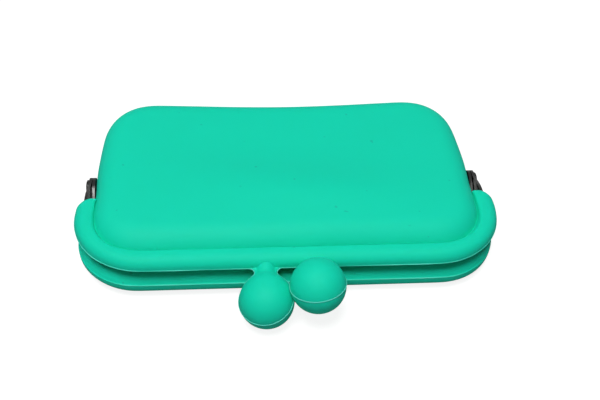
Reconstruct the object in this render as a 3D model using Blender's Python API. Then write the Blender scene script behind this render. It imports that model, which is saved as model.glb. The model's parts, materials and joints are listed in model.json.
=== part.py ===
"""Silicone kiss-lock card wallet, lying closed on its rear wall.

A soft bag with a sleeve round its mouth is threaded over two bent steel strips. The strips turn
on a rivet at each side, and two balls snap past each other at the front to hold the mouth shut.
Sizes are in metres. While the pieces are made, y = 0 is the front face of the front sleeve and
z = 0 is the plane where the two sleeves meet. The wallet empty then sets the model on the table.
"""

import math

import bmesh
import bpy
from mathutils import Matrix, Vector

# Clearances
SOFT_GAP = 0.0003
MOUTH_SLIT = 0.0003
SLEEVE_GAP = 0.0004
FRAME_SIDE_GAP = 0.0002
BAG_SIDE_GAP = 0.0002
RIVET_CLEARANCE = 0.0001
TAIL_CLEARANCE = 0.0001
BALL_TO_SLEEVE = 0.0004
BALL_TO_BALL = 0.00025

# The steel strips
STRIP_THICKNESS = 0.0008
STRIP_HEIGHT = 0.0040
FRONT_STRIP_INSET = 0.0030

# The silicone sleeves round the strips
FRONT_SLEEVE_HALF_WIDTH = 0.0600
REAR_SLEEVE_STEP = 0.0007
REAR_SLEEVE_SETBACK = 0.0003
SLEEVE_SKIN = 0.000575
SLEEVE_WIDTH = 0.0070
SLEEVE_ROUND = 0.0025
SLEEVE_CORNER_RADIUS = 0.0202
SLEEVE_STRAIGHT = 0.0048
SLEEVE_END_ROUND = 0.0030

# The hinge
ARM_LENGTH = 0.0106
ARM_PLAIN_LENGTH = 0.0012
EAR_RADIUS = 0.0030
RIVET_RADIUS = 0.0012
RIVET_DOME_RADIUS = 0.0020
RIVET_DOME_HEIGHT = 0.0009
COUNTERSINK_DEPTH = 0.0007

# The bag
BAG_THICKNESS = 0.0186
BAG_FRONT_Y = 0.0049
BAG_REAR_Y = 0.0686
BAG_EDGE_ROUND = 0.0083
BAG_REAR_CORNER = 0.0170
BAG_REAR_CORNER_POWER = 2.4
BAG_SIDE_TAPER = 0.0019
BAG_TAPER_LENGTH = 0.0366
BAG_REAR_HOLLOW = 0.0013
HOLLOW_SIDE_INSET = 0.0102
SILICONE_WALL = 0.0018

# The clasp
BALL_RADIUS = 0.0071
BALL_WALL = 0.0028
SNAP_SQUEEZE = 0.00075
CLASP_LEFT_SHIFT = 0.0002
FRONT_BALL_DROP = 0.0011
STEM_RADIUS = 0.0012
STEM_LEVEL = 0.0030
TAIL_RADIUS = 0.0009
NECK_WALL = 0.0013
NECK_FLARE = 0.0006
FLARE_LENGTH = 0.0089

# The band of the front wall that bends as the mouth opens, by its angles round the hinge
OPENING_ANGLE = math.radians(60)
FOLD_REAR_ANGLE = math.radians(69.4)
FOLD_SPARE_ANGLE = math.radians(6.2)
FOLD_LOW_Z = 0.0014

# Sizes that follow from those above
SLEEVE_HEIGHT = STRIP_HEIGHT + 2 * (SOFT_GAP + SLEEVE_SKIN)
SLEEVE_MIDDLE_Z = (SLEEVE_GAP + SLEEVE_HEIGHT) / 2
SLEEVE_END_Y = SLEEVE_CORNER_RADIUS + SLEEVE_STRAIGHT
REAR_SLEEVE_HALF_WIDTH = FRONT_SLEEVE_HALF_WIDTH - REAR_SLEEVE_STEP
HINGE_Y = SLEEVE_END_Y + ARM_LENGTH
FRONT_STRIP_X = FRONT_SLEEVE_HALF_WIDTH - FRONT_STRIP_INSET
REAR_STRIP_X = FRONT_STRIP_X - STRIP_THICKNESS - FRAME_SIDE_GAP
REAR_STRIP_INSET = REAR_SLEEVE_HALF_WIDTH - REAR_STRIP_X
REAR_EAR_INSIDE = REAR_STRIP_X - STRIP_THICKNESS / 2
FRONT_EAR_OUTSIDE = FRONT_STRIP_X + STRIP_THICKNESS / 2
BAG_HALF_WIDTH = REAR_EAR_INSIDE - BAG_SIDE_GAP
BAG_FRONT_CORNER = SLEEVE_CORNER_RADIUS - BAG_FRONT_Y
HALF_THICKNESS = BAG_THICKNESS / 2
NECK_RADIUS = STEM_RADIUS + SOFT_GAP + NECK_WALL
CORE_RADIUS = BALL_RADIUS - BALL_WALL - SOFT_GAP
BALL_SPACING = 2 * BALL_RADIUS - SNAP_SQUEEZE
FRONT_BALL_Y = REAR_SLEEVE_SETBACK - BALL_RADIUS - BALL_TO_SLEEVE
REAR_BALL_Y = -BALL_RADIUS - BALL_TO_SLEEVE
BALL_RISE = math.sqrt(
    (2 * BALL_RADIUS + BALL_TO_BALL) ** 2 - BALL_SPACING**2 - REAR_SLEEVE_SETBACK**2
)
FOLD_FRONT_ANGLE = FOLD_REAR_ANGLE + OPENING_ANGLE + FOLD_SPARE_ANGLE
CUT_REACH = FRONT_SLEEVE_HALF_WIDTH + BAG_REAR_Y

# How finely round forms are drawn
SIDE_STEPS = 4
CORNER_STEPS = 9
EDGE_STEPS = 6
REAR_STEPS = 8
SLEEVE_ROUND_STEPS = 4
EAR_STEPS = 8
STEM_STEPS = 6
BALL_STEPS = 12
COVER_SIDES = 24
STUD_SIDES = 16
RIVET_SIDES = 24
DOME_STEPS = 5
POLE_ANGLE = 0.12
RING_SPACING_MARGIN = 1.03


def material(name, colour, roughness, metallic=0.0):
    made = bpy.data.materials.new(name)
    made.use_nodes = True
    shader = made.node_tree.nodes["Principled BSDF"]
    shader.inputs["Base Color"].default_value = (*colour, 1.0)
    shader.inputs["Roughness"].default_value = roughness
    shader.inputs["Metallic"].default_value = metallic
    return made


def empty(name, location, parent=None):
    made = bpy.data.objects.new(name, None)
    made.location = location
    made.parent = parent
    bpy.context.collection.objects.link(made)
    return made


def loft(name, rings):
    """A closed solid through rings of as many points each, with a flat face over both ends."""
    bm = bmesh.new()
    loops = [[bm.verts.new(point) for point in ring] for ring in rings]
    count = len(loops[0])
    for low, high in zip(loops, loops[1:]):
        for i in range(count):
            j = (i + 1) % count
            bm.faces.new((low[i], low[j], high[j], high[i]))
    bm.faces.new(reversed(loops[0]))
    bm.faces.new(loops[-1])
    bmesh.ops.recalc_face_normals(bm, faces=bm.faces)
    mesh = bpy.data.meshes.new(name)
    bm.to_mesh(mesh)
    bm.free()
    made = bpy.data.objects.new(name, mesh)
    bpy.context.collection.objects.link(made)
    return made


def cutter(made):
    """Marks a body that only shapes others, and sets it where they stand."""
    made.hide_render = True
    made.display_type = "WIRE"
    made.parent = wallet
    return made


def combine(target, operation, *others):
    for other in others:
        change = target.modifiers.new(f"{operation.lower()} {other.name}", "BOOLEAN")
        change.operation = operation
        change.solver = "EXACT"
        change.object = other


def finish(made, finish_material, parent):
    """Gives a piece its material and smooth faces, and hangs it on the hinge or on the wallet."""
    made.data.materials.append(finish_material)
    made.data.shade_smooth()
    made.data.set_sharp_from_angle(angle=math.radians(35))
    made.parent = parent
    if parent is mouth_hinge:
        made.data.transform(Matrix.Translation(-parent.location))


def clamp(value):
    return min(max(value, 0.0), 1.0)


def smooth_step(value):
    t = clamp(value)
    return t * t * (3 - 2 * t)


def quarter(steps):
    """The angles of a quarter turn, in even steps."""
    return [math.pi / 2 * i / steps for i in range(steps + 1)]


def soft_place(x, y):
    """Draws the bag in a little toward its toe, and hollows the middle of the toe's edge."""
    back = clamp((y - BAG_REAR_Y + BAG_TAPER_LENGTH) / BAG_TAPER_LENGTH)
    x *= 1 - BAG_SIDE_TAPER * back**2 / BAG_HALF_WIDTH
    middle = 1 - (x / (BAG_HALF_WIDTH - HOLLOW_SIDE_INSET)) ** 2
    toe = clamp((y - BAG_REAR_Y + BAG_REAR_CORNER) / BAG_REAR_CORNER)
    return x, y - BAG_REAR_HOLLOW * max(middle, 0.0) * toe


def bag_outline(inset):
    """The bag's plan, inset by a distance, from the front right corner round to the front left."""
    half = BAG_HALF_WIDTH - inset
    front = BAG_FRONT_Y + inset
    rear = BAG_REAR_Y - inset
    small = BAG_FRONT_CORNER - inset
    large = BAG_REAR_CORNER - inset
    power = 2 / BAG_REAR_CORNER_POWER
    right = []
    for a in quarter(CORNER_STEPS):
        right.append((half - small + small * math.sin(a), front + small - small * math.cos(a)))
    straight = rear - large - front - small
    for i in range(1, SIDE_STEPS):
        right.append((half, front + small + straight * i / SIDE_STEPS))
    for a in quarter(CORNER_STEPS):
        x = half - large + large * max(math.cos(a), 0.0) ** power
        right.append((x, rear - large + large * math.sin(a) ** power))
    for i in range(1, REAR_STEPS // 2 + 1):
        right.append(((half - large) * (1 - 2 * i / REAR_STEPS), rear))
    left = [(-x, y) for x, y in reversed(right[:-1])]
    return [soft_place(x, y) for x, y in right + left]


def pillow(name, inset):
    """The bag's outer form, or the space inside its walls when it is inset by their thickness."""
    height = HALF_THICKNESS - inset
    edge = BAG_EDGE_ROUND - inset
    rings = []
    for i in range(-EDGE_STEPS, EDGE_STEPS + 1):
        a = math.pi / 2 * i / EDGE_STEPS
        outline = bag_outline(inset + edge * (1 - math.cos(a)))
        rings.append([(x, y, height * math.sin(a)) for x, y in outline])
    return loft(name, rings)


def u_path(half_width, front_y, corner_radius, end_y, end_points=()):
    """Stations (x, y, inward x, inward y) along a U, from its right rear end to its left one."""
    centre_x = half_width - corner_radius
    centre_y = front_y + corner_radius
    right = [(half_width, y, -1.0, 0.0) for y in (end_y, *end_points)]
    for a in quarter(CORNER_STEPS):
        x = centre_x + corner_radius * math.cos(a)
        y = centre_y - corner_radius * math.sin(a)
        right.append((x, y, -math.cos(a), math.sin(a)))
    left = [(-x, y, -inward_x, inward_y) for x, y, inward_x, inward_y in reversed(right)]
    return right + left


def sleeve_section(grow):
    """A rounded section as (inward, z) points, grown by a distance on every side."""
    radius = SLEEVE_ROUND + grow
    half_width = SLEEVE_WIDTH / 2 + grow
    half_height = SLEEVE_HEIGHT / 2 + grow
    points = []
    for corner, (across, up) in enumerate(((1, 1), (-1, 1), (-1, -1), (1, -1))):
        centre_x = SLEEVE_WIDTH / 2 + across * (half_width - radius)
        centre_z = up * (half_height - radius)
        for a in quarter(SLEEVE_ROUND_STEPS):
            turn = a + corner * math.pi / 2
            points.append((centre_x + radius * math.cos(turn), centre_z + radius * math.sin(turn)))
    return points


def sleeve(name, half, grow=0.0):
    """The silicone sleeve round one frame. Its rear ends are rounded off on their outer side."""
    end_y = SLEEVE_END_Y + grow
    from_end = [SLEEVE_END_ROUND * (1 - math.cos(a)) for a in quarter(SLEEVE_ROUND_STEPS)]
    cut_in = [SLEEVE_END_ROUND * (1 - math.sin(a)) for a in quarter(SLEEVE_ROUND_STEPS)]
    more = [end_y - distance for distance in from_end[1:]]
    stations = u_path(half["sleeve_x"], half["front_y"], SLEEVE_CORNER_RADIUS, end_y, more)
    rings = []
    for i, (x, y, inward_x, inward_y) in enumerate(stations):
        near_end = min(i, len(stations) - 1 - i)
        cut = cut_in[near_end] if near_end < len(cut_in) else 0.0
        ring = []
        for inward, z in sleeve_section(grow):
            reach = cut + inward * (SLEEVE_WIDTH - cut) / SLEEVE_WIDTH
            ring.append((x + inward_x * reach, y + inward_y * reach, half["middle_z"] + z))
        rings.append(ring)
    return cutter(loft(name, rings))


def arm_levels(y, middle_z, grow):
    """Lowest and highest z of a frame's strip at y: a plain strip that widens to its round ear."""
    if y > HINGE_Y:
        half_height = math.sqrt(max(EAR_RADIUS**2 - (y - HINGE_Y) ** 2, 0.0)) + grow
        return -half_height, half_height
    taper_start = SLEEVE_END_Y + ARM_PLAIN_LENGTH
    t = smooth_step((y - taper_start) / (HINGE_Y - taper_start))
    centre = middle_z * (1 - t)
    half_height = STRIP_HEIGHT / 2 + (EAR_RADIUS - STRIP_HEIGHT / 2) * t + grow
    return centre - half_height, centre + half_height


def strip(name, half, ends, grow=0.0):
    """A strip bent to a U, whose arms have stations at the ends' y, grown by a gap if given."""
    radius = SLEEVE_CORNER_RADIUS - half["inset"]
    stations = u_path(half["strip_x"], half["strip_y"], radius, ends[0], ends[1:])
    reach = STRIP_THICKNESS / 2 + grow
    rings = []
    for x, y, inward_x, inward_y in stations:
        low, high = arm_levels(y, half["middle_z"], grow)
        outer = (x - inward_x * reach, y - inward_y * reach)
        inner = (x + inward_x * reach, y + inward_y * reach)
        rings.append([(*outer, low), (*inner, low), (*inner, high), (*outer, high)])
    return loft(name, rings)


def turned(name, profile, side):
    """A solid turned about the hinge axis from (x, radius) points, on the right or left side."""
    rings = []
    for x, radius in profile:
        ring = []
        for i in range(RIVET_SIDES):
            a = 2 * math.pi * i / RIVET_SIDES
            ring.append((side * x, HINGE_Y + radius * math.cos(a), radius * math.sin(a)))
        rings.append(ring)
    return loft(name, rings)


def swept(name, x, path, radii, sides):
    """A round body along a path in the y-z plane at one x."""
    rings = []
    for i, (point, radius) in enumerate(zip(path, radii)):
        along = (path[min(i + 1, len(path) - 1)] - path[max(i - 1, 0)]).normalized()
        across = Vector((-along.y, along.x))
        ring = []
        for k in range(sides):
            a = 2 * math.pi * k / sides
            place = point + across * radius * math.sin(a)
            ring.append((x + radius * math.cos(a), place.x, place.y))
        rings.append(ring)
    return loft(name, rings)


def ball_on_stem(name, half, start_y, stem_radius, ball_radius, sides, flare=0.0, tail_y=None):
    """A stem that leaves a frame level, leans to its ball and ends in it.

    A flare swells the stem where it meets the ball, and a tail reaches back through the frame.
    """
    start = Vector((start_y, half["middle_z"]))
    ball = Vector(half["ball"])
    level = start - Vector((STEM_LEVEL, 0.0))
    lean = (ball - level).normalized()
    end = ball - lean * (BALL_RADIUS - BALL_WALL / 2)
    handles = (start, level, end - lean * STEM_LEVEL, end)
    path = []
    radii = []
    if tail_y is not None:
        path += [Vector((tail_y, start.y)), start]
        radii += [TAIL_RADIUS, TAIL_RADIUS]
    for i in range(STEM_STEPS + 1):
        t = i / STEM_STEPS
        weights = ((1 - t) ** 3, 3 * t * (1 - t) ** 2, 3 * t**2 * (1 - t), t**3)
        point = sum((handle * weight for handle, weight in zip(handles, weights)), Vector((0, 0)))
        distance = (point - ball).length
        radius = stem_radius + flare * smooth_step(1 - (distance - ball_radius) / FLARE_LENGTH) ** 2
        if distance < RING_SPACING_MARGIN * math.sqrt(ball_radius**2 - radius**2):
            break
        path.append(point)
        radii.append(radius)
    first = math.asin(radii[-1] / ball_radius)
    for i in range(BALL_STEPS + 1):
        a = first + (math.pi - POLE_ANGLE - first) * i / BALL_STEPS
        path.append(ball - lean * ball_radius * math.cos(a))
        radii.append(ball_radius * math.sin(a))
    return swept(name, half["ball_x"], path, radii, sides)


def prism(name, outline):
    """A cutter across the whole width, from its outline in the y-z plane."""
    rings = [[(x, y, z) for y, z in outline] for x in (-CUT_REACH, CUT_REACH)]
    return cutter(loft(name, rings))


def fold_point(angle, gap, z):
    """The point at z on a line that leans at an angle, a gap away from the hinge axis."""
    return HINGE_Y + (gap + z * math.cos(angle)) / math.sin(angle), z


def ahead_of(name, angle, gap, level):
    """A prism that holds all that is above a level and ahead of a leaning line."""
    low = fold_point(angle, gap, level)
    high = fold_point(angle, gap, CUT_REACH)
    return prism(name, [(-CUT_REACH, level), low, high, (-2 * CUT_REACH, CUT_REACH)])


for old in list(bpy.data.objects):
    bpy.data.objects.remove(old, do_unlink=True)

toe_y = max(y for x, y in bag_outline(0.0))
clasp_y = REAR_BALL_Y - BALL_RADIUS
wallet = empty("wallet", (0.0, -(toe_y + clasp_y) / 2, HALF_THICKNESS))
mouth_hinge = empty("mouth_hinge", (0.0, HINGE_Y, 0.0), wallet)

silicone = material("turquoise silicone", (0.010, 0.645, 0.445), 0.55)
steel = material("nickel plated steel", (0.30, 0.29, 0.28), 0.30, 1.0)

bag_form = cutter(pillow("bag_form", 0.0))
pocket_form = cutter(pillow("pocket_form", SILICONE_WALL))

front_half = {
    "name": "front",
    "parent": mouth_hinge,
    "sleeve_x": FRONT_SLEEVE_HALF_WIDTH,
    "front_y": 0.0,
    "strip_x": FRONT_STRIP_X,
    "inset": FRONT_STRIP_INSET,
    "middle_z": SLEEVE_MIDDLE_Z,
    "ball_x": -BALL_SPACING / 2 - CLASP_LEFT_SHIFT,
    "ball": (FRONT_BALL_Y, -FRONT_BALL_DROP),
}
rear_half = {
    "name": "rear",
    "parent": wallet,
    "sleeve_x": REAR_SLEEVE_HALF_WIDTH,
    "front_y": REAR_SLEEVE_SETBACK,
    "strip_x": REAR_STRIP_X,
    "inset": REAR_STRIP_INSET,
    "middle_z": -SLEEVE_MIDDLE_Z,
    "ball_x": BALL_SPACING / 2 - CLASP_LEFT_SHIFT,
    "ball": (REAR_BALL_Y, BALL_RISE - FRONT_BALL_DROP),
}

for half in (front_half, rear_half):
    name = half["name"]
    half["strip_y"] = half["front_y"] + half["inset"]
    strip_front = half["strip_y"] - STRIP_THICKNESS / 2
    strip_back = half["strip_y"] + STRIP_THICKNESS / 2

    # The steel frame, holed at the front for its stud's tail and at both ears for the rivets
    ear_ends = [HINGE_Y + EAR_RADIUS * math.cos(max(a, POLE_ANGLE)) for a in quarter(EAR_STEPS)]
    taper = ARM_LENGTH - ARM_PLAIN_LENGTH
    arm_ends = [HINGE_Y - taper * i / EAR_STEPS for i in range(1, EAR_STEPS + 1)]
    frame = strip(f"{name}_steel_frame", half, ear_ends + arm_ends)
    hole_path = [Vector((y, half["middle_z"])) for y in (strip_front - SOFT_GAP, strip_back + SOFT_GAP)]
    hole_radii = [TAIL_RADIUS + TAIL_CLEARANCE] * 2
    tail_hole = swept(f"{name}_tail_hole", half["ball_x"], hole_path, hole_radii, STUD_SIDES)
    combine(frame, "DIFFERENCE", cutter(tail_hole))
    for hand, side in (("right", 1), ("left", -1)):
        ear_profile = [
            (half["strip_x"] - STRIP_THICKNESS, RIVET_RADIUS + RIVET_CLEARANCE),
            (half["strip_x"] + STRIP_THICKNESS, RIVET_RADIUS + RIVET_CLEARANCE),
        ]
        combine(frame, "DIFFERENCE", cutter(turned(f"{name}_{hand}_ear_hole", ear_profile, side)))
    half["frame"] = frame

    # The clasp stud, riveted to the frame by its tail, and the bore that holds it in the silicone
    stem_start = strip_front - SOFT_GAP
    stud = ball_on_stem(
        f"{name}_clasp_stud", half, stem_start, STEM_RADIUS, CORE_RADIUS, STUD_SIDES, tail_y=strip_back
    )
    bore = ball_on_stem(
        f"{name}_stud_bore", half, strip_front, STEM_RADIUS + SOFT_GAP, CORE_RADIUS + SOFT_GAP, STUD_SIDES
    )
    cutter(bore)

    # The hollow silicone ball, whose neck is shaped to the sleeve that it springs from
    cover = ball_on_stem(
        f"{name}_ball_cover", half, stem_start, NECK_RADIUS, BALL_RADIUS, COVER_SIDES, flare=NECK_FLARE
    )
    combine(cover, "DIFFERENCE", bore, sleeve(f"{name}_sleeve_room", half, grow=SOFT_GAP))

    # The silicone shell: half of the hollow bag with its sleeve, and the channel for the frame
    shell = bpy.data.objects.new(f"{name}_silicone_shell", bag_form.data.copy())
    bpy.context.collection.objects.link(shell)
    combine(shell, "UNION", sleeve(f"{name}_sleeve_form", half))
    combine(shell, "DIFFERENCE", pocket_form)
    if half is front_half:
        kept = ahead_of("front_region", FOLD_FRONT_ANGLE, -SOFT_GAP, MOUTH_SLIT / 2)
        combine(shell, "INTERSECT", kept)
    else:
        given_up = ahead_of("mouth_region", FOLD_REAR_ANGLE, SOFT_GAP, -MOUTH_SLIT / 2)
        combine(shell, "DIFFERENCE", given_up)
    channel = strip(f"{name}_channel", half, [SLEEVE_END_Y + ARM_PLAIN_LENGTH], grow=SOFT_GAP)
    combine(shell, "DIFFERENCE", cutter(channel), bore)

    finish(shell, silicone, half["parent"])
    finish(cover, silicone, half["parent"])
    finish(stud, steel, half["parent"])

# The band of the front wall over the hinge line, which bends as the mouth opens
fold_strip = bpy.data.objects.new("fold_strip", bag_form.data.copy())
bpy.context.collection.objects.link(fold_strip)
fold_outline = [
    fold_point(FOLD_FRONT_ANGLE, 0.0, FOLD_LOW_Z),
    fold_point(FOLD_REAR_ANGLE, 0.0, FOLD_LOW_Z),
    fold_point(FOLD_REAR_ANGLE, 0.0, CUT_REACH),
    fold_point(FOLD_FRONT_ANGLE, 0.0, CUT_REACH),
]
combine(fold_strip, "DIFFERENCE", pocket_form)
combine(fold_strip, "INTERSECT", prism("fold_region", fold_outline))
finish(fold_strip, silicone, wallet)

# The rivets: domed outside, and spread inside into a countersink flush with the rear ear
for hand, side in (("right", 1), ("left", -1)):
    sink_profile = [
        (REAR_EAR_INSIDE - COUNTERSINK_DEPTH, RIVET_RADIUS + 2 * COUNTERSINK_DEPTH + RIVET_CLEARANCE),
        (REAR_EAR_INSIDE + COUNTERSINK_DEPTH, RIVET_RADIUS + RIVET_CLEARANCE),
    ]
    countersink = cutter(turned(f"{hand}_countersink", sink_profile, side))
    combine(rear_half["frame"], "DIFFERENCE", countersink)
    dome_foot = FRONT_EAR_OUTSIDE + RIVET_CLEARANCE
    profile = [
        (REAR_EAR_INSIDE, RIVET_RADIUS + COUNTERSINK_DEPTH - RIVET_CLEARANCE),
        (REAR_EAR_INSIDE + COUNTERSINK_DEPTH, RIVET_RADIUS),
        (dome_foot, RIVET_RADIUS),
    ]
    for i in range(DOME_STEPS + 1):
        a = (math.pi / 2 - POLE_ANGLE) * i / DOME_STEPS
        profile.append((dome_foot + RIVET_DOME_HEIGHT * math.sin(a), RIVET_DOME_RADIUS * math.cos(a)))
    finish(turned(f"{hand}_hinge_rivet", profile, side), steel, wallet)

for half in (front_half, rear_half):
    finish(half["frame"], steel, half["parent"])

bpy.context.view_layer.update()
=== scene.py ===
"""A turquoise silicone card wallet with a kiss-lock ball clasp, lying closed on its rear wall.

Sizes are in millimetres. Each piece is made with x across the mouth, y back from the front of
the front sleeve and z up from the plane where the mouth closes, and in_frame then sets it in the
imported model.
"""

import json
import math
import bmesh
import bpy
from mathutils import Matrix, Vector, noise
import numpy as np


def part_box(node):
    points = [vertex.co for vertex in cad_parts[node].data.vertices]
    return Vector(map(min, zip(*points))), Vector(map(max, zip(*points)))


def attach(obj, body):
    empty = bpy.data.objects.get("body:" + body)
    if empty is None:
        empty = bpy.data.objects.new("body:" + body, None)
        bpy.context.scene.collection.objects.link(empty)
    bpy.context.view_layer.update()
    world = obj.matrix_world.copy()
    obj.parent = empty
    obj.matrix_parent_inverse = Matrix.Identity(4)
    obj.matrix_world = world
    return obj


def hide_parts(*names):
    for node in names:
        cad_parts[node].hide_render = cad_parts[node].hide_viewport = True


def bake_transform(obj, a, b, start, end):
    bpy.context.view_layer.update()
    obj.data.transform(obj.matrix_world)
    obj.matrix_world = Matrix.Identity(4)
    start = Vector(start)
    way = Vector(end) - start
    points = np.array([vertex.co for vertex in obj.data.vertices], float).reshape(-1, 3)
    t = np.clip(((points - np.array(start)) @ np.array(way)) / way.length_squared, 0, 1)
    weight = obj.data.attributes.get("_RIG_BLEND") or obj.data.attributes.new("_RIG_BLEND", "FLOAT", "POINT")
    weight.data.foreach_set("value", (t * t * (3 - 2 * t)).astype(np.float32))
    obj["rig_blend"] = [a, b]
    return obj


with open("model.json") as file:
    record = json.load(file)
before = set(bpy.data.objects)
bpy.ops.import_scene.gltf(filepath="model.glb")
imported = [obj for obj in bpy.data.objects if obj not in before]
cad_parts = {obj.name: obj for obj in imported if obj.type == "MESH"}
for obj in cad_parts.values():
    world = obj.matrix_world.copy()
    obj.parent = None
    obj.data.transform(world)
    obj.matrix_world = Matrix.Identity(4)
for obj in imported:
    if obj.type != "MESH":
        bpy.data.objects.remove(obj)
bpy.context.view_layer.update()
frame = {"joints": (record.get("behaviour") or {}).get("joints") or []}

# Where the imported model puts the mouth: its plane, the front of its sleeve and its hinge line.
METRE = 1000.0
hinge = Vector(frame["joints"][0]["pos_m"]) * METRE
front_low, front_high = (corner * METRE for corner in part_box("front_silicone_shell"))
rear_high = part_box("rear_silicone_shell")[1] * METRE
mouth_z = hinge.z
hinge_y = hinge.y - front_low.y


def in_frame(x, y, z):
    """A point of a piece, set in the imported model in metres."""
    return Vector((x, y + front_low.y, z + mouth_z)) / METRE


# The camera stands in front of the clasp and looks down on the wallet from a little to its left.
VIEW_TARGET = (0.0, 30.0, 0.0)
VIEW_DISTANCE = 246.3
VIEW_AZIMUTH = 4.79
VIEW_ELEVATION = 44.39
VIEW_ROLL = 2.10
SENSOR_WIDTH = 36.0
LENS = 50.0
VIEW_SHIFT = (0.0250, -0.0050)
VIEW_NEAREST = 10.0

camera = bpy.data.objects.new("camera", bpy.data.cameras.new("camera"))
bpy.context.scene.collection.objects.link(camera)
azimuth = math.radians(VIEW_AZIMUTH)
elevation = math.radians(VIEW_ELEVATION)
forward = Vector(
    (
        math.sin(azimuth) * math.cos(elevation),
        math.cos(azimuth) * math.cos(elevation),
        -math.sin(elevation),
    )
)
turn = forward.to_track_quat("-Z", "Y").to_matrix() @ Matrix.Rotation(math.radians(VIEW_ROLL), 3, "Z")
camera.matrix_world = turn.to_4x4()
camera.location = in_frame(*(Vector(VIEW_TARGET) - forward * VIEW_DISTANCE))
camera.data.sensor_width = SENSOR_WIDTH
camera.data.lens = LENS
camera.data.shift_x, camera.data.shift_y = VIEW_SHIFT
camera.data.clip_start = VIEW_NEAREST / METRE
bpy.context.scene.camera = camera

# The floor is a plain white sheet, lit by a wide soft lamp overhead, a weaker one in front and
# an even white sky. Both lamps point at the middle of the wallet's base, and their places and
# sizes are in metres, as the floor's is.
FLOOR_SIZE = 4.0
FLOOR_SEEN = (0.25, 0.25, 0.25)
FLOOR_BOUNCE = (0.30, 0.30, 0.30)
FLOOR_GLOW = 0.87
SKY_STRENGTH = 0.08
LAMPS = {
    "key_lamp": {"place": (-0.09, -0.217, 0.748), "size": 0.34, "watts": 5.85},
    "front_lamp": {"place": (-0.30, -0.66, 0.26), "size": 0.5, "watts": 0.22},
}

floor_mesh = bpy.data.meshes.new("floor")
reach = FLOOR_SIZE / 2
corners = [(-reach, -reach, 0.0), (reach, -reach, 0.0), (reach, reach, 0.0), (-reach, reach, 0.0)]
floor_mesh.from_pydata(corners, [], [(0, 1, 2, 3)])
floor = bpy.data.objects.new("floor", floor_mesh)
bpy.context.scene.collection.objects.link(floor)
floor_paint = bpy.data.materials.new("white sheet")
floor_paint.use_nodes = True
floor_shader = floor_paint.node_tree.nodes["Principled BSDF"]
floor_shader.inputs["Roughness"].default_value = 0.9
floor_shader.inputs["Specular IOR Level"].default_value = 0.0
floor_nodes, floor_links = floor_paint.node_tree.nodes, floor_paint.node_tree.links
floor_rays = floor_nodes.new("ShaderNodeLightPath")
floor_tone = floor_nodes.new("ShaderNodeMix")
floor_tone.data_type = "RGBA"
floor_tone.inputs["A"].default_value = (*FLOOR_BOUNCE, 1.0)
floor_tone.inputs["B"].default_value = (*FLOOR_SEEN, 1.0)
floor_links.new(floor_rays.outputs["Is Camera Ray"], floor_tone.inputs["Factor"])
floor_links.new(floor_tone.outputs["Result"], floor_shader.inputs["Base Color"])
floor_shader.inputs["Emission Color"].default_value = (1.0, 1.0, 1.0, 1.0)
floor_glow = floor_nodes.new("ShaderNodeMath")
floor_glow.operation = "MULTIPLY"
floor_glow.inputs[1].default_value = FLOOR_GLOW
floor_links.new(floor_rays.outputs["Is Camera Ray"], floor_glow.inputs[0])
floor_links.new(floor_glow.outputs[0], floor_shader.inputs["Emission Strength"])
floor_mesh.materials.append(floor_paint)

for name, lamp in LAMPS.items():
    data = bpy.data.lights.new(name, "AREA")
    data.shape = "DISK"
    data.size = lamp["size"]
    data.energy = lamp["watts"]
    made = bpy.data.objects.new(name, data)
    made.location = lamp["place"]
    made.rotation_euler = (-Vector(lamp["place"])).to_track_quat("-Z", "Y").to_euler()
    bpy.context.scene.collection.objects.link(made)

# The sky is plain white to the camera and in reflections, and lights the wallet only faintly
sky = bpy.data.worlds.new("sky")
sky.use_nodes = True
bpy.context.scene.world = sky
sky_nodes, sky_links = sky.node_tree.nodes, sky.node_tree.links
background = sky_nodes["Background"]
background.inputs["Color"].default_value = (1.0, 1.0, 1.0, 1.0)
rays = sky_nodes.new("ShaderNodeLightPath")
seen = sky_nodes.new("ShaderNodeMath")
seen.operation = "MAXIMUM"
sky_links.new(rays.outputs["Is Camera Ray"], seen.inputs[0])
sky_links.new(rays.outputs["Is Transmission Ray"], seen.inputs[1])
seen_too = sky_nodes.new("ShaderNodeMath")
seen_too.operation = "MAXIMUM"
sky_links.new(seen.outputs[0], seen_too.inputs[0])
sky_links.new(rays.outputs["Is Glossy Ray"], seen_too.inputs[1])
strength = sky_nodes.new("ShaderNodeMapRange")
strength.inputs["To Min"].default_value = SKY_STRENGTH
strength.inputs["To Max"].default_value = 1.0
sky_links.new(seen_too.outputs[0], strength.inputs["Value"])
sky_links.new(strength.outputs["Result"], background.inputs["Strength"])
bpy.context.scene.view_settings.view_transform = "Standard"

# The silicone moulding: a flat bag with a closed toe, open at the front between two sleeves that
# hold the steel frames. It is cast in one piece of soft matt silicone, in a mould whose parting
# leaves a thin flash line round each sleeve. The front wall bends over the hinge line.
SLEEVE_WIDTH = 7.0
FRONT_SLEEVE_TOP = 6.35
REAR_SLEEVE_TOP = 7.4
SLEEVE_ROUND = 3.0
SLEEVE_BACK_ROUND = 1.3
SLEEVE_BACK_DEPTH = 3.9
SLEEVE_SIDE_SWELL = 0.12
SLEEVE_SWELL_FROM = 2.0
SLEEVE_SWELL_RISE = 2.0
SLEEVE_CORNER_SLIM = 0.14
SLEEVE_UNDERSIDE = 3.4
SLEEVE_UNDERSIDE_POWER = 1.8
FRONT_CORNER = 20.2
REAR_CORNER = 17.6
SLEEVE_END_Y = 25.0
SLEEVE_END_CUT = 3.0
SLEEVE_END_EDGE = 0.6
SLEEVE_END_SQUEEZE = 0.16
SLEEVE_END_STEP = 0.02
SLEEVE_GAP = 0.2
LEFT_TUCK = 0.3
LEFT_LIFT = 0.6
SETBACK = 0.3
FLASH_FRONT_HEIGHT = 0.27
FLASH_REAR_HEIGHT = 0.12
FLASH_WIDTH = 0.24
FLASH_FOOT = 0.06
FLASH_SHOULDER = 0.2
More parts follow.
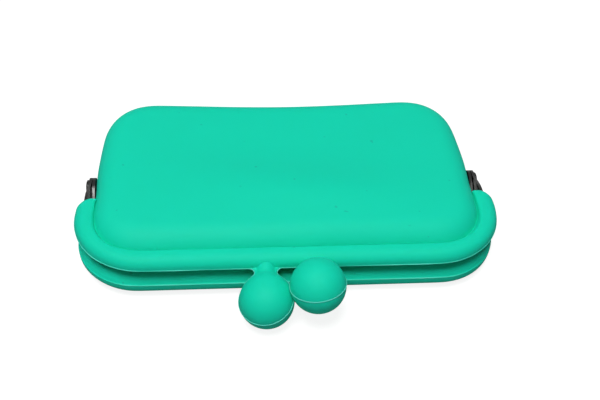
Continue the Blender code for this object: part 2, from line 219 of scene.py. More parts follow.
FLASH_CREST = 0.4
FLASH_UNDERCUT = 0.08
FLASH_FADE = math.radians(34)
FLASH_UNEVEN = 0.65
FLASH_WAVES = 5.3
FLASH_WAVE_PLACE = (2.6, 7.1)
FLASH_STEP = 0.25
FLASH_FRONT_Z = 3.02
FLASH_REAR_Z = 3.35
BAG_FRONT_Y = 4.6
BAG_REAR_Y = 68.1
BAG_HALF_WIDTH = 55.5
BAG_FRONT_CORNER = 14.6
BAG_EDGE = 8.3
TOE_CORNER = 17.0
TOE_POWER = 2.4
TOE_HOLLOW = 0.6
TOE_HOLLOW_POWER = 2.6
TOE_HOLLOW_REACH = 45.4
SIDE_TAPER = 1.9
TAPER_START = 32.0
PINCH = 0.6
PINCH_FROM = 28.0
PINCH_TO = 40.0
WALL = 1.8
# Each swell or sag of the front wall is (middle x, middle y, reach x, reach y, height)
WALL_SWELLS = (
    (11.0, 22.5, 24.0, 9.0, 1.5),
    (-8.0, 29.0, 15.0, 7.0, 0.6),
    (-8.0, 41.0, 15.0, 7.5, -0.65),
    (-28.0, 45.0, 12.0, 7.0, -0.35),
    (17.0, 36.0, 13.0, 7.0, -0.3),
    (2.0, 62.0, 32.0, 27.0, -1.7),
)
# Each set of its faint waves is (length x, length y, which waves, height)
WALL_WAVES = (
    (31.0, 27.0, 4.2, 0.10),
    (11.0, 13.0, 1.7, 0.04),
)
CAP_Y = 36.8
CAP_STRAIGHT = 19.0
CAP_ROUND = 13.0
SHOULDER_POWER = 2.35
GROOVE_BAG_ANGLE = math.radians(29)
GROOVE_SLEEVE_ANGLE = math.radians(62)
GROOVE_FLOOR_Y = 5.32
GROOVE_FLOOR_Z = 4.6
GROOVE_WAY_DOWN = 0.6
GROOVE_WAY_UP = 0.4
GROOVE_LEFT_LIFT = 0.6
FOLD_START = math.radians(15)
FOLD_END = math.radians(148)
BEFORE_FOLD = -1.0
WELD = 0.002

half_thickness = mouth_z


def clamp(value):
    """A value held between 0 and 1."""
    return min(max(value, 0.0), 1.0)


def smooth(value):
    """A share from 0 to 1 that starts and ends gently."""
    share = clamp(value)
    return share * share * (3 - 2 * share)


def quarter(steps):
    """The angles of a quarter turn in even steps, both ends included."""
    return [math.pi / 2 * i / steps for i in range(steps + 1)]


def u_outline(kind, t, half, front, corner):
    """A point on a U: its front run, its corner or its side, t of the way along or at y = t."""
    if kind == "front":
        return t * (half - corner), front
    if kind == "corner":
        return half - corner + corner * math.sin(t), front + corner - corner * math.cos(t)
    return half, t


def bag_point(kind, t, inset):
    """The bag's plan at one station, inset from its side, with its taper and its hollow toe."""
    half = BAG_HALF_WIDTH - inset
    rear = BAG_REAR_Y - inset
    corner = TOE_CORNER - inset
    if kind == "toe corner":
        x = half - corner + corner * max(math.cos(t), 0.0) ** (2 / TOE_POWER)
        y = rear - corner + corner * max(math.sin(t), 0.0) ** (2 / TOE_POWER)
    elif kind == "toe":
        x = t * (half - corner)
        y = rear
    else:
        x, y = u_outline(kind, t, half, BAG_FRONT_Y + inset, BAG_FRONT_CORNER - inset)
    back = clamp((y - TAPER_START) / (BAG_REAR_Y - TAPER_START))
    pinched = PINCH * smooth((PINCH_TO - y) / (PINCH_TO - PINCH_FROM))
    x *= 1 - (SIDE_TAPER * back**2 + pinched) / BAG_HALF_WIDTH
    middle = max(1 - abs(x / TOE_HOLLOW_REACH) ** TOE_HOLLOW_POWER, 0.0)
    toe = clamp((y - BAG_REAR_Y + TOE_CORNER) / TOE_CORNER)
    return x, y - TOE_HOLLOW * middle * toe


# How finely the moulding is made: rows go over a wall and into its mouth, stations go round it
CAP_RUNGS = 5
TOP_SHARES = (1.0, 0.82, 0.64, 0.46, 0.3, 0.17, 0.07)
SHOULDER_STEPS = 9
GROOVE_STEPS = 4
SLEEVE_BACK_STEPS = 4
SLEEVE_ROUND_STEPS = 8
FLASH_ROWS = 4
UNDERSIDE_STEPS = 6
SLIT_DEPTHS = (0.35, 0.7, 0.95)
INNER_STEPS = 6
FRONT_STATIONS = 9
CORNER_STATIONS = 12
SLEEVE_END_STATIONS = 7
HINGE_STATIONS = 4
SIDE_STATIONS = 6
TOE_CORNER_STATIONS = 15
TOE_STATIONS = 8


def sleeve_rows(top, flash_z, flash_height):
    """The sleeve's section as (depth, z) from the groove over its top to the mouth's face."""
    high = top - SLEEVE_ROUND
    rows = []
    for i in range(SLEEVE_BACK_STEPS):
        a = GROOVE_SLEEVE_ANGLE * (1 - i / SLEEVE_BACK_STEPS)
        depth = SLEEVE_BACK_DEPTH + SLEEVE_BACK_ROUND * math.sin(a)
        rows.append((depth, top - SLEEVE_BACK_ROUND * (1 - math.cos(a))))
    rows.append(((SLEEVE_BACK_DEPTH + SLEEVE_ROUND) / 2, top))
    for a in quarter(SLEEVE_ROUND_STEPS):
        rows.append((SLEEVE_ROUND - SLEEVE_ROUND * math.sin(a), high + SLEEVE_ROUND * math.cos(a)))
    half = FLASH_WIDTH / 2
    rows.append((0.0, flash_z + half + FLASH_FOOT))
    rows.append((-FLASH_SHOULDER * flash_height, flash_z + half))
    rows.append((-flash_height, flash_z + half * FLASH_CREST))
    rows.append((-flash_height, flash_z - half * FLASH_CREST))
    rows.append((0.0, flash_z - half))
    low = flash_z - half - FLASH_UNDERCUT
    for a in quarter(UNDERSIDE_STEPS):
        depth = FLASH_STEP + SLEEVE_UNDERSIDE * (1 - math.cos(a))
        rows.append((depth, low + (SLEEVE_GAP - low) * math.sin(a) ** SLEEVE_UNDERSIDE_POWER))
    return rows


FRONT_ROWS = sleeve_rows(FRONT_SLEEVE_TOP, FLASH_FRONT_Z, FLASH_FRONT_HEIGHT)
REAR_ROWS = sleeve_rows(REAR_SLEEVE_TOP, FLASH_REAR_Z, FLASH_REAR_HEIGHT)


def stations():
    """Stations along one side of the bag, from the middle of its front to the middle of its toe.

    Each is (kind, t, sleeve share, end cut, end squeeze, mouth open share).
    """
    found = [("front", i / FRONT_STATIONS, 1.0, 0.0, 0.0, 1.0) for i in range(FRONT_STATIONS)]
    found += [("corner", a, 1.0, 0.0, 0.0, 1.0) for a in quarter(CORNER_STATIONS)]
    for a in quarter(SLEEVE_END_STATIONS)[1:]:
        y = SLEEVE_END_Y - SLEEVE_END_CUT * (1 - math.sin(a))
        cut = SLEEVE_END_CUT * (1 - math.cos(a))
        squeeze = 0.0
        if y > SLEEVE_END_Y - SLEEVE_END_EDGE:
            share = (y - SLEEVE_END_Y) / SLEEVE_END_EDGE + 1
            squeeze = SLEEVE_END_SQUEEZE * (1 - math.sqrt(max(1 - share**2, 0.0)))
        found.append(("side", y, 1.0, cut, squeeze, 1.0))
    bare_from = SLEEVE_END_Y + SLEEVE_END_STEP
    for i in range(HINGE_STATIONS + 1):
        share = i / HINGE_STATIONS
        y = bare_from + (hinge_y - bare_from) * share
        found.append(("side", y, 0.0, 0.0, 0.0, 1 - share))
    toe_corner_y = BAG_REAR_Y - TOE_CORNER
    for i in range(1, SIDE_STATIONS):
        y = hinge_y + (toe_corner_y - hinge_y) * i / SIDE_STATIONS
        found.append(("side", y, 0.0, 0.0, 0.0, 0.0))
    found += [("toe corner", a, 0.0, 0.0, 0.0, 0.0) for a in quarter(TOE_CORNER_STATIONS)]
    for i in range(1, TOE_STATIONS + 1):
        found.append(("toe", 1 - i / TOE_STATIONS, 0.0, 0.0, 0.0, 0.0))
    return found


def wall_rise(x, y):
    """How far the soft front wall stands above or below flat: its waves, swells and sags."""
    rise = 0.0
    for length_x, length_y, which, height in WALL_WAVES:
        rise += height * noise.noise(Vector((x / length_x, y / length_y, which)))
    for middle_x, middle_y, reach_x, reach_y, height in WALL_SWELLS:
        rise += height * math.exp(-(((x - middle_x) / reach_x) ** 2) - ((y - middle_y) / reach_y) ** 2)
    return rise


def shoulder(kind, t, a, high):
    """The bag's rounded edge at angle a, from its widest line at 0 to the flat of its wall."""
    power = 2 / SHOULDER_POWER
    x, y = bag_point(kind, t, BAG_EDGE * (1 - max(math.cos(a), 0.0) ** power))
    return Vector((x, y, high * math.sin(a) ** power))


def cap_edge(share):
    """The long round in the middle of a wall, from the middle of its front to that of its rear."""
    arc = math.pi * CAP_ROUND
    way = share * (2 * CAP_STRAIGHT + arc)
    if way < CAP_STRAIGHT:
        return way, CAP_Y - CAP_ROUND
    if way > CAP_STRAIGHT + arc:
        return 2 * CAP_STRAIGHT + arc - way, CAP_Y + CAP_ROUND
    a = (way - CAP_STRAIGHT) / CAP_ROUND
    return CAP_STRAIGHT + CAP_ROUND * math.sin(a), CAP_Y - CAP_ROUND * math.cos(a)


def turned_at(kind, t):
    """How far the sleeve has turned at a station, from 0 at its front to a quarter at its sides."""
    return {"front": 0.0, "corner": t}.get(kind, math.pi / 2)


def flash_share(kind, t, side, rear):
    """How much of its full height the flash has: uneven, and worn away round the rear corners. The same
    share sets how strongly the flash's painted highlight is laid on.
    """
    way = side * (t if kind == "front" else 1.0 + turned_at(kind, t))
    share = 1 - FLASH_UNEVEN * (0.5 + noise.noise(Vector((way * FLASH_WAVES, *FLASH_WAVE_PLACE))))
    return clamp(share) * (1 - rear * smooth(turned_at(kind, t) / FLASH_FADE))


def wall_rows(station, along, side, half, setback, sleeve_corner, rising, section):
    """One half's points at a station, from the middle of the outer wall to that of the inner."""
    kind, t, sleeve, cut, squeeze, mouth_open = station
    ring_x, ring_y = bag_point(kind, t, BAG_EDGE)
    cap_x, cap_y = cap_edge(along)

    def on_wall(share, height):
        x = ring_x + (cap_x - ring_x) * share
        y = ring_y + (cap_y - ring_y) * share
        return x, y, height + rising * wall_rise(side * x, y)

    rows = [on_wall(share, half_thickness) for share in TOP_SHARES]
    high = half_thickness + rising * wall_rise(side * ring_x, ring_y)
    for i in range(SHOULDER_STEPS + 1):
        a = math.pi / 2 + (GROOVE_BAG_ANGLE - math.pi / 2) * i / SHOULDER_STEPS
        rows.append(tuple(shoulder(kind, t, a, high)))
    groove_start = Vector(rows[-1])

    turned = turned_at(kind, t)
    cornering = math.sin(2 * turned) ** 2
    swell = SLEEVE_SIDE_SWELL * (1 - math.cos(turned)) - SLEEVE_CORNER_SLIM * cornering
    rear = 1 - rising
    flash = flash_share(kind, t, side, rear)
    lift = LEFT_LIFT * rear * cornering if side < 0 else 0.0

    def sleeve_point(depth, z):
        if depth < 0:
            depth *= flash
        z -= lift * clamp((z - FLASH_REAR_Z) / (REAR_SLEEVE_TOP - FLASH_REAR_Z))
        wide = depth * (1 + swell * clamp((z - SLEEVE_SWELL_FROM) / SLEEVE_SWELL_RISE))
        reach = cut + wide * (SLEEVE_WIDTH - cut) / SLEEVE_WIDTH
        x, y = u_outline(kind, t, half - reach, setback + reach, sleeve_corner - reach)
        middle = (SLEEVE_GAP + FRONT_SLEEVE_TOP) / 2
        return Vector((x, y, middle + (z - middle) * (1 - squeeze)))

    side_steps = GROOVE_STEPS + len(section) - 1
    gap = SLEEVE_GAP * mouth_open

    def side_point(step):
        a = GROOVE_BAG_ANGLE * (1 - step / side_steps)
        point = shoulder(kind, t, a, high)
        point.z = gap + (high - gap) * point.z / high
        return point

    if sleeve:
        groove_end = sleeve_point(*section[0])
        x, y = bag_point(kind, t, GROOVE_FLOOR_Y - BAG_FRONT_Y)
        raised = GROOVE_LEFT_LIFT * max(-math.cos(2 * turned), 0.0) if side < 0 else 0.0
        floor_point = Vector((x, y, GROOVE_FLOOR_Z + raised))
        rows.append(tuple(groove_start.lerp(floor_point, GROOVE_WAY_DOWN)))
        rows.append(tuple(floor_point))
        rows.append(tuple(floor_point.lerp(groove_end, GROOVE_WAY_UP)))
        rows += [tuple(sleeve_point(depth, z)) for depth, z in section]
    else:
        rows += [tuple(side_point(step)) for step in range(1, side_steps + 1)]
    outer_edge = Vector(rows[-1])
    x, y = bag_point(kind, t, WALL)
    inner_edge = Vector((x, y, gap))
    rows += [tuple(outer_edge.lerp(inner_edge, share)) for share in SLIT_DEPTHS]
    for i in range(INNER_STEPS + 1):
        a = math.pi / 2 * i / INNER_STEPS
        x, y = bag_point(kind, t, WALL + (BAG_EDGE - WALL) * (1 - math.cos(a)))
        rows.append((x, y, gap + (high - WALL - gap) * math.sin(a)))
    rows += [on_wall(share, half_thickness - WALL) for share in reversed(TOP_SHARES)]
    return rows


def close_cap(mesh, ring, height, rising, upward):
    """Closes the middle of a wall with rungs from its front to its rear."""
    half_way = len(ring) // 2
    rungs = []
    for k in range(-half_way // 2, half_way // 2 + 1):
        front, rear = ring[k], ring[half_way - k]
        if abs(k) == half_way // 2:
            rungs.append([front] * (CAP_RUNGS + 1))
            continue
        rung = [front]
        for i in range(1, CAP_RUNGS):
            place = front.co.lerp(rear.co, i / CAP_RUNGS) * METRE
            x, y = place.x, place.y - front_low.y
            z = upward * (height + rising * wall_rise(x, y))
            rung.append(mesh.verts.new(in_frame(x, y, z)))
        rungs.append(rung + [rear])
    for left_rung, right_rung in zip(rungs, rungs[1:]):
        for i in range(CAP_RUNGS):
            corners = [left_rung[i], right_rung[i], right_rung[i + 1], left_rung[i + 1]]
            mesh.faces.new(dict.fromkeys(corners))


def smooth_piece(mesh, name):
    """Turns a finished mesh into a smoothly shaded object of the scene."""
    bmesh.ops.recalc_face_normals(mesh, faces=mesh.faces)
    data = bpy.data.meshes.new(name)
    mesh.to_mesh(data)
    mesh.free()
    data.shade_smooth()
    made = bpy.data.objects.new(name, data)
    bpy.context.scene.collection.objects.link(made)
    return made


outer_rows = len(TOP_SHARES) + SHOULDER_STEPS + GROOVE_STEPS + len(FRONT_ROWS)
slit_end = outer_rows + len(SLIT_DEPTHS)
flash_first = outer_rows - UNDERSIDE_STEPS - 1 - FLASH_ROWS

moulding_mesh = bmesh.new()
flash_highlight_layer = moulding_mesh.verts.layers.float.new("flash")
for upward, half_width, setback, sleeve_corner, rising, section in (
    (1, front_high.x, 0.0, FRONT_CORNER, 1.0, FRONT_ROWS),
    (-1, rear_high.x, SETBACK, REAR_CORNER, 0.0, REAR_ROWS),
):
    one_side = stations()
    right = [(station, 1) for station in one_side]
    left = [(station, -1) for station in reversed(one_side[1:-1])]
    columns = []
    for station, side in right + left:
        column = []
        kind, t, sleeve, _, _, mouth_open = station
        along = one_side.index(station) / (len(one_side) - 1)
        half = half_width - LEFT_TUCK * (side < 0 < upward)
        rows = wall_rows(station, along, side, half, setback, sleeve_corner, rising, section)
        for i, (x, y, z) in enumerate(rows):
            vertex = moulding_mesh.verts.new(in_frame(side * x, y, upward * z))
            # The flash rows are painted paler: a painted highlight, as strong as the flash is tall
            if sleeve and flash_first <= i < flash_first + FLASH_ROWS:
                vertex[flash_highlight_layer] = flash_share(kind, t, side, 1 - rising)
            column.append(vertex)
        columns.append((column, mouth_open))
    for j, (column, open_here) in enumerate(columns):
        following, open_next = columns[(j + 1) % len(columns)]
        shut = open_here == 0 and open_next == 0
        for i in range(len(column) - 1):
            if shut and outer_rows - 1 <= i < slit_end:
                continue
            moulding_mesh.faces.new((column[i], following[i], following[i + 1], column[i + 1]))
    for end, height in ((0, half_thickness), (-1, half_thickness - WALL)):
        ring = [column[end] for column, _ in columns]
        close_cap(moulding_mesh, ring, height, rising, upward)
bmesh.ops.remove_doubles(moulding_mesh, verts=moulding_mesh.verts, dist=WELD / METRE)
loose = [vertex for vertex in moulding_mesh.verts if not vertex.link_faces]
bmesh.ops.delete(moulding_mesh, geom=loose, context="VERTS")
moulding = smooth_piece(moulding_mesh, "silicone_moulding")
fine = moulding.modifiers.new("fine surface", "SUBSURF")
fine.levels = fine.render_levels = 1

SILICONE = (0.003, 0.640, 0.425)
# The paler green of the flash lines is a painted highlight, standing in for the light their fins catch
FLASH_HIGHLIGHT_COLOUR = (0.09, 0.73, 0.55)
SPECK_COLOUR = (0.010, 0.34, 0.24)
CLOUDING = (0.965, 1.035)
CLOUD_SCALE = 28.0
SPECK_SCALE = 650.0
TOOTH_SCALE = 5200.0


def silicone_material(name):
    """Matt silicone: a very fine tooth, faint clouding, a few specks of dust, and a painted highlight on the
    flash lines.
    """
    made = bpy.data.materials.new(name)
    made.use_nodes = True
    nodes, links = made.node_tree.nodes, made.node_tree.links
    shader = nodes["Principled BSDF"]
    shader.inputs["Specular IOR Level"].default_value = 0.15
    shader.inputs["Subsurface Weight"].default_value = 0.4
    shader.inputs["Subsurface Radius"].default_value = (0.3, 1.0, 0.8)
    shader.inputs["Subsurface Scale"].default_value = 0.0012
    place = nodes.new("ShaderNodeNewGeometry")

    def noise_node(scale, detail):
        node = nodes.new("ShaderNodeTexNoise")
        node.inputs["Scale"].default_value = scale
        node.inputs["Detail"].default_value = detail
        links.new(place.outputs["Position"], node.inputs["Vector"])
        return node

    clouds = noise_node(CLOUD_SCALE, 3.0)
    tint = nodes.new("ShaderNodeMix")
    tint.data_type = "RGBA"
    for socket, shade in zip("AB", CLOUDING):
        tint.inputs[socket].default_value = (*[c * shade for c in SILICONE], 1.0)
    links.new(clouds.outputs["Fac"], tint.inputs["Factor"])
    # Painted highlight: the flash lines are mixed towards a paler green
    flash = nodes.new("ShaderNodeAttribute")
    flash.attribute_name = "flash"
    painted_flash_highlight = nodes.new("ShaderNodeMix")
    painted_flash_highlight.data_type = "RGBA"
    painted_flash_highlight.inputs["B"].default_value = (*FLASH_HIGHLIGHT_COLOUR, 1.0)
    links.new(flash.outputs["Fac"], painted_flash_highlight.inputs["Factor"])
    specks = noise_node(SPECK_SCALE, 0.0)
    speck = nodes.new("ShaderNodeMapRange")
    speck.inputs["From Min"].default_value = 0.84
    speck.inputs["From Max"].default_value = 0.87
    speck.inputs["To Max"].default_value = 0.40
    links.new(specks.outputs["Fac"], speck.inputs["Value"])
    dusty = nodes.new("ShaderNodeMix")
    dusty.data_type = "RGBA"
    dusty.inputs["B"].default_value = (*SPECK_COLOUR, 1.0)
    links.new(speck.outputs["Result"], dusty.inputs["Factor"])
    links.new(tint.outputs["Result"], dusty.inputs["A"])
    links.new(dusty.outputs["Result"], painted_flash_highlight.inputs["A"])
    links.new(painted_flash_highlight.outputs["Result"], shader.inputs["Base Color"])
    tooth = noise_node(TOOTH_SCALE, 2.0)
    rough = nodes.new("ShaderNodeMapRange")
    rough.inputs["To Min"].default_value = 0.60
    rough.inputs["To Max"].default_value = 0.74
    links.new(clouds.outputs["Fac"], rough.inputs["Value"])
    links.new(rough.outputs["Result"], shader.inputs["Roughness"])
    bump = nodes.new("ShaderNodeBump")
    bump.inputs["Strength"].default_value = 0.25
    bump.inputs["Distance"].default_value = 0.00003
    links.new(tooth.outputs["Fac"], bump.inputs["Height"])
    links.new(bump.outputs["Normal"], shader.inputs["Normal"])
    return made


silicone = silicone_material("turquoise silicone")
moulding.data.materials.append(silicone)
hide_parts("rear_silicone_shell", "front_silicone_shell", "fold_strip")

# The wall turns about the hinge line by its angle there, so the bend is set with each point laid
# out at that angle, and the points then go back to their places. The rear half is laid out
# before the fold, so it stays.
places = [vertex.co.copy() for vertex in moulding.data.vertices]
for vertex, place in zip(moulding.data.vertices, places):
    angle = math.atan2(place.z * METRE - hinge.z, hinge.y - place.y * METRE)
    vertex.co = (0.0, math.pi - angle if angle >= 0 else BEFORE_FOLD, 0.0)
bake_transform(moulding, "rear_half", "front_half", start=(0.0, FOLD_START, 0.0), end=(0.0, FOLD_END, 0.0))
for vertex, place in zip(moulding.data.vertices, places):
    vertex.co = place

# The clasp: two hollow silicone balls moulded on to the sleeves by short necks. The left one
# springs from the front sleeve and the right one from the rear sleeve, and they press together.
# The flash line of each sleeve runs down its neck and round its ball.
BALL_RADIUS = 7.4
BALL_SIDES = 72
BALL_RINGS = 40
NECK_HALF_WIDTH = 3.0
NECK_HALF_HEIGHT = 2.0
NECK_GROWTH = 0.25
NECK_GROWTH_REACH = 2.0
NECK_ROOT = 1.5
NECK_IN_BALL = 0.55
NECK_BELL_REACH = 3.4
NECK_BELL_POWER = 0.7
NECK_ROUND = 2.3
NECK_WEB = 0.32
NECK_FILLET = 1.3
NECK_LEVEL = 1.2
NECK_BLEND = 1.6
NECK_STEPS = 22
BALL_FLASH = 0.17
FLASH_SIDES = 8
FLASH_RING_STEPS = 96
FLASH_JOIN_STEPS = 16
FLASH_JOIN_FROM = 0.80
FLASH_JOIN_LEAN = 0.3
UPRIGHT = 0.98
CONTACT_GAP = 0.01
# Each ball's flash ring slopes by ring_rise along x and y, ring_level above the ball's middle
CLASP_BALLS = {
    "front": {
        "centre": (-6.98, -7.65, -1.35),
        "sleeve": (0.0, FLASH_FRONT_Z),
        "ring_rise": (0.198, 0.222),
        "ring_level": 0.95,
        "body": "front_half",
    },
    "rear": {
        "centre": (6.38, -7.5, 4.25),
        "sleeve": (SETBACK, -FLASH_REAR_Z),
        "ring_rise": (0.129, -0.250),
        "ring_level": 0.29,
        "body": "rear_half",
    },
}


def add_rings(mesh, rings, flash=0.0, loop=False):
    """Skins a row of rings of equal count, with a fan on each open end; flash is how strongly the flash
    lines' painted highlight is laid on them.
    """
    layer = mesh.verts.layers.float["flash"]
    made = []
    for ring in rings:
        vertices = [mesh.verts.new(in_frame(*point)) for point in ring]
        for vertex in vertices:
            vertex[layer] = flash
        made.append(vertices)
    count = len(made[0])
    pairs = list(zip(made, made[1:])) + ([(made[-1], made[0])] if loop else [])
    for this, following in pairs:
        for k in range(count):
            step = (k + 1) % count
            mesh.faces.new((this[k], this[step], following[step], following[k]))
    if not loop:
        for ring, points in ((made[0], rings[0]), (made[-1], rings[-1])):
            middle = sum((Vector(point) for point in points), Vector()) / count
            tip = mesh.verts.new(in_frame(*middle))
            tip[layer] = flash
            for k in range(count):
                mesh.faces.new((ring[k], ring[(k + 1) % count], tip))


def add_tube(mesh, path, radius, loop=False):
    """A thin round flash line along a path, painted paler as a painted highlight."""
    rings = []
    for i, point in enumerate(path):
        before = path[i - 1] if i or loop else point
        after = path[(i + 1) % len(path)] if i + 1 < len(path) or loop else point
        along = (after - before).normalized()
        side = along.orthogonal() if abs(along.z) > UPRIGHT else along.cross((0, 0, 1))
        side.normalize()
        up = side.cross(along)
        ring = []
        for k in range(FLASH_SIDES):
            a = 2 * math.pi * k / FLASH_SIDES
            ring.append(point + side * radius * math.cos(a) + up * radius * math.sin(a))
        rings.append(ring)
    add_rings(mesh, rings, flash=1.0, loop=loop)


def square_to(along):
    """The direction in the y-z plane that is square to another and points up."""
    across = Vector((-along.y, along.x))
    return -across if across.y < 0 else across


def neck_path(start, ball):
    """The neck's middle line in the y-z plane: level out of the sleeve, then straight at the ball."""
    bend = Vector((start.x - NECK_LEVEL, start.y))
    lean = (ball - bend).normalized()
    end = ball - lean * BALL_RADIUS * NECK_IN_BALL
    handles = (start + Vector((NECK_ROOT, 0.0)), bend, end - lean * NECK_LEVEL, end)
    path = []
    for i in range(NECK_STEPS + 1):
        t = i / NECK_STEPS
        weights = ((1 - t) ** 3, 3 * t * (1 - t) ** 2, 3 * t**2 * (1 - t), t**3)
        pulls = [handle * weight for handle, weight in zip(handles, weights)]
        path.append(sum(pulls, Vector((0, 0))))
    return path, lean


def neck_size(point, start, ball):
    """The neck's half width and half height at a point, and how far its section is still a bell."""
    out = start.x - point.x
    corner = clamp(1 - out / NECK_FILLET)
    fillet = NECK_FILLET * (1 - math.sqrt(max(1 - corner**2, 0.0)))
    distance = (point - ball).length
    sphere = math.sqrt(max(BALL_RADIUS**2 - distance**2, 0.0))
    sizes = []
    growth = NECK_GROWTH * clamp(out / NECK_GROWTH_REACH)
    for neck in (NECK_HALF_WIDTH + fillet, NECK_HALF_HEIGHT + growth):
        near = clamp(1 - abs(neck - sphere) / NECK_BLEND)
        sizes.append(max(neck, sphere) + near**2 * NECK_BLEND / 4)
    return sizes[0], sizes[1], smooth(1 - out / NECK_BELL_REACH)


for name, clasp in CLASP_BALLS.items():
    centre = Vector(clasp["centre"])
    other = Vector(next(value["centre"] for key, value in CLASP_BALLS.items() if key != name))
    start, ball = Vector(clasp["sleeve"]), centre.yz
    path, lean = neck_path(start, ball)
    mesh = bmesh.new()
    mesh.verts.layers.float.new("flash")
    rings = []
    sides = {1: [], -1: []}
    for i, point in enumerate(path):
        across = square_to((path[min(i + 1, NECK_STEPS)] - path[max(i - 1, 0)]).normalized())
        half_width, half_height, bell = neck_size(point, start, ball)
        ring = []
        for k in range(BALL_SIDES):
            a = 2 * math.pi * k / BALL_SIDES
            round_rise = math.sin(a)
            web_rise = NECK_WEB * abs(round_rise)
            dome = max(1 - (half_width * math.cos(a) / NECK_ROUND) ** 2, 0.0)
            web_rise += (1 - NECK_WEB) * dome**NECK_BELL_POWER
            rise = round_rise + (math.copysign(web_rise, round_rise) - round_rise) * bell
            place = point + across * half_height * rise
            ring.append((centre.x + half_width * math.cos(a), place.x, place.y))
        rings.append(ring)
        for side in sides:
            sides[side].append(Vector((centre.x + side * half_width, point.x, point.y)))
    first = math.acos((path[-1] - ball).length / BALL_RADIUS)
    across = square_to(lean)
    for i in range(1, BALL_RINGS):
        a = first + (math.pi - first) * i / BALL_RINGS
        ring = []
        for k in range(BALL_SIDES):
            turn_here = 2 * math.pi * k / BALL_SIDES
            radius = BALL_RADIUS * math.sin(a)
            place = ball - lean * BALL_RADIUS * math.cos(a) + across * radius * math.sin(turn_here)
            ring.append((centre.x + radius * math.cos(turn_here), place.x, place.y))
        rings.append(ring)
    add_rings(mesh, rings)

    # The flash ring round the ball, and the lines that run to it down both sides of the neck, all painted
    # paler as a painted highlight
    ring_axis = Vector((-clasp["ring_rise"][0], -clasp["ring_rise"][1], 1.0)).normalized()
    ring_middle = centre + ring_axis * clasp["ring_level"]
    ring_across = Vector((0.0, 1.0, 0.0)).cross(ring_axis).normalized()
    ring_back = ring_axis.cross(ring_across)
    ring_radius = math.sqrt(BALL_RADIUS**2 - clasp["ring_level"] ** 2)
    ring_path = []
    for i in range(FLASH_RING_STEPS):
        a = 2 * math.pi * i / FLASH_RING_STEPS
        spoke = ring_across * math.cos(a) + ring_back * math.sin(a)
        ring_path.append(ring_middle + spoke * ring_radius)
    add_tube(mesh, ring_path, BALL_FLASH, loop=True)
    for side, line in sides.items():
        line = [point for point in line if (point.yz - ball).length > BALL_RADIUS * FLASH_JOIN_FROM]
        begin = (line[-1] - centre).normalized()
        finish = (ring_across * side + ring_back * FLASH_JOIN_LEAN).normalized()
        for i in range(1, FLASH_JOIN_STEPS + 1):
            line.append(centre + begin.slerp(finish, i / FLASH_JOIN_STEPS) * BALL_RADIUS)
        add_tube(mesh, line, BALL_FLASH)

    # The balls flatten where they press together
    towards = (other - centre).normalized()
    reach = (other - centre).length / 2 - CONTACT_GAP
    frame_centre = in_frame(*centre)
    for vertex in mesh.verts:
        past = (vertex.co - frame_centre).dot(towards) * METRE - reach
        if past > 0:
            vertex.co -= towards * past / METRE
    made = smooth_piece(mesh, f"{name}_clasp_ball")
    made.data.materials.append(silicone)
    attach(made, clasp["body"])
    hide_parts(f"{name}_ball_cover")

# The frame of the mouth: two steel strips bent to a U and plated with nickel, coloured almost black as a
# painted reflection of dark surroundings. Each runs through its sleeve, leaves it at both ends and widens to
# a round ear at the hinge.
STRIP_THICKNESS = 0.8
STRIP_HEIGHT = 4.0
STRIP_MIDDLE = 3.2
STRIP_EDGE = 0.3
STRIP_EDGE_STEPS = 3
STRIP_EDGE_ANGLE = math.radians(55)
STRIP_GAP = 0.2
STRIP_TAPER = 9.4
STRIP_FRONT_STEPS = 3
STRIP_CORNER_STEPS = 14
STRIP_SIDE_STEPS = 2
EAR_RADIUS = 3.0
EAR_STEPS = 12
EAR_END = 0.1
FRONT_STRIP_OUTSIDE = 57.4
# The nickel's colour is kept almost black: a painted reflection of dark surroundings
NICKEL_PAINTED_DARK = (0.030, 0.031, 0.030)
NICKEL_GRAIN = (0.8, 1.25)


def nickel_material(name):
    """Nickel plate with a fine rubbed grain, its colour almost black as a painted reflection of dark
    surroundings.
    """
    made = bpy.data.materials.new(name)
    made.use_nodes = True
    nodes, links = made.node_tree.nodes, made.node_tree.links
    shader = nodes["Principled BSDF"]
    shader.inputs["Metallic"].default_value = 1.0
    place = nodes.new("ShaderNodeNewGeometry")
    stretch = nodes.new("ShaderNodeMapping")
    stretch.inputs["Scale"].default_value = (2600.0, 260.0, 2600.0)
    links.new(place.outputs["Position"], stretch.inputs["Vector"])
    grain = nodes.new("ShaderNodeTexNoise")
    grain.inputs["Scale"].default_value = 1.0
    grain.inputs["Detail"].default_value = 3.0
    links.new(stretch.outputs["Vector"], grain.inputs["Vector"])
    tint = nodes.new("ShaderNodeMix")
    tint.data_type = "RGBA"
    for socket, shade in zip("AB", NICKEL_GRAIN):
        tint.inputs[socket].default_value = (*[c * shade for c in NICKEL_PAINTED_DARK], 1.0)
    links.new(grain.outputs["Fac"], tint.inputs["Factor"])
    links.new(tint.outputs["Result"], shader.inputs["Base Color"])
    rough = nodes.new("ShaderNodeMapRange")
    rough.inputs["To Min"].default_value = 0.16
    rough.inputs["To Max"].default_value = 0.30
    links.new(grain.outputs["Fac"], rough.inputs["Value"])
    links.new(rough.outputs["Result"], shader.inputs["Roughness"])
    bump = nodes.new("ShaderNodeBump")
    bump.inputs["Strength"].default_value = 0.2
    bump.inputs["Distance"].default_value = 0.00002
    links.new(grain.outputs["Fac"], bump.inputs["Height"])
    links.new(bump.outputs["Normal"], shader.inputs["Normal"])
    return made


nickel = nickel_material("nickel_painted_dark")


def finish_steel(mesh, name, edge=0.0):
    """Makes a steel piece of a mesh, with its edges broken if a width is given."""
    made = smooth_piece(mesh, name)
    made.data.materials.append(nickel)
    if edge:
        bevel = made.modifiers.new("broken edges", "BEVEL")
        bevel.width = edge / METRE
        bevel.segments = STRIP_EDGE_STEPS
        bevel.limit_method = "ANGLE"
        bevel.angle_limit = STRIP_EDGE_ANGLE
        bevel.harden_normals = True
    return made


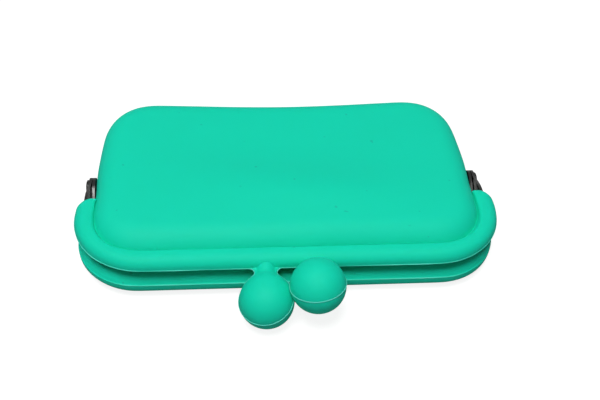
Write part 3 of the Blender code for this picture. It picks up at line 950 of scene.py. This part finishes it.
rear_strip_outside = FRONT_STRIP_OUTSIDE - STRIP_THICKNESS - STRIP_GAP
for name, side, sleeve_half, outside, front_y, sleeve_corner in (
    ("front", 1, front_high.x, FRONT_STRIP_OUTSIDE, 0.0, FRONT_CORNER),
    ("rear", -1, rear_high.x, rear_strip_outside, SETBACK, REAR_CORNER),
):
    depth = sleeve_half - outside
    middle_z = side * STRIP_MIDDLE
    arm = [("front", i / STRIP_FRONT_STEPS) for i in range(STRIP_FRONT_STEPS)]
    arm += [("corner", a) for a in quarter(STRIP_CORNER_STEPS)]
    for i in range(1, STRIP_SIDE_STEPS + 1):
        arm.append(("side", FRONT_CORNER + (SLEEVE_END_Y - FRONT_CORNER) * i / STRIP_SIDE_STEPS))
    arm += [("side", hinge_y - STRIP_TAPER * (1 - i / EAR_STEPS)) for i in range(EAR_STEPS)]
    for a in reversed(quarter(EAR_STEPS)):
        arm.append(("side", hinge_y + EAR_RADIUS * math.cos(max(a, EAR_END))))
    half_rings = []
    for kind, t in arm:
        ring = []
        for inward in (0.0, STRIP_THICKNESS):
            here = depth + inward
            x, y = u_outline(kind, t, sleeve_half - here, front_y + here, sleeve_corner - here)
            share = smooth((y - hinge_y + STRIP_TAPER) / STRIP_TAPER)
            if y > hinge_y:
                reach = math.sqrt(max(EAR_RADIUS**2 - (y - hinge_y) ** 2, 0.0))
                middle = 0.0
            else:
                reach = STRIP_HEIGHT / 2 + (EAR_RADIUS - STRIP_HEIGHT / 2) * share
                middle = middle_z * (1 - share)
            ring.append(((x, y, middle - reach), (x, y, middle + reach)))
        outer, inner = ring
        half_rings.append([outer[0], inner[0], inner[1], outer[1]])
    left_rings = [[(-x, y, z) for x, y, z in ring] for ring in reversed(half_rings[1:])]
    mesh = bmesh.new()
    strip = []
    for ring in left_rings + half_rings:
        strip.append([mesh.verts.new(in_frame(*point)) for point in ring])
    for this, following in zip(strip, strip[1:]):
        for k in range(4):
            mesh.faces.new((this[k], this[(k + 1) % 4], following[(k + 1) % 4], following[k]))
    mesh.faces.new(strip[0])
    mesh.faces.new(strip[-1])
    made = finish_steel(mesh, f"{name}_frame_strip", STRIP_EDGE)
    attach(made, f"{name}_half")
    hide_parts(f"{name}_steel_frame")

# The hinge rivets: one through both ears at each side, of nickel plated steel, with a low domed
# head on the outside and its tail set flush on the inside. They stay with the rear strip.
RIVET_SIDES = 40
# From tail to head, each is (how far out of the front strip's outer face, radius)
RIVET_PROFILE = (
    (-1.77, 1.25),
    (-1.72, 1.45),
    (-1.50, 1.45),
    (-1.20, 1.15),
    (0.0, 1.15),
    (0.0, 2.30),
    (0.12, 2.40),
    (0.62, 2.40),
    (0.82, 2.27),
    (0.96, 1.95),
    (1.04, 1.40),
    (1.08, 0.70),
)
for name, side in (("left", -1), ("right", 1)):
    mesh = bmesh.new()
    mesh.verts.layers.float.new("flash")
    rings = []
    for out, radius in RIVET_PROFILE:
        ring = []
        for k in range(RIVET_SIDES):
            a = 2 * math.pi * k / RIVET_SIDES
            x = side * (FRONT_STRIP_OUTSIDE + out)
            ring.append((x, hinge_y + radius * math.cos(a), radius * math.sin(a)))
        rings.append(ring)
    add_rings(mesh, rings)
    made = finish_steel(mesh, f"{name}_rivet")
    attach(made, "rear_half")
    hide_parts(f"{name}_hinge_rivet")

# The clasp studs: a steel stem and ball inside each silicone ball, riveted to the strip behind
# it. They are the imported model's own solids, plated in the same nickel.
for name in ("front_clasp_stud", "rear_clasp_stud"):
    stud = bpy.data.objects[name]
    for slot in stud.material_slots:
        slot.material = nickel
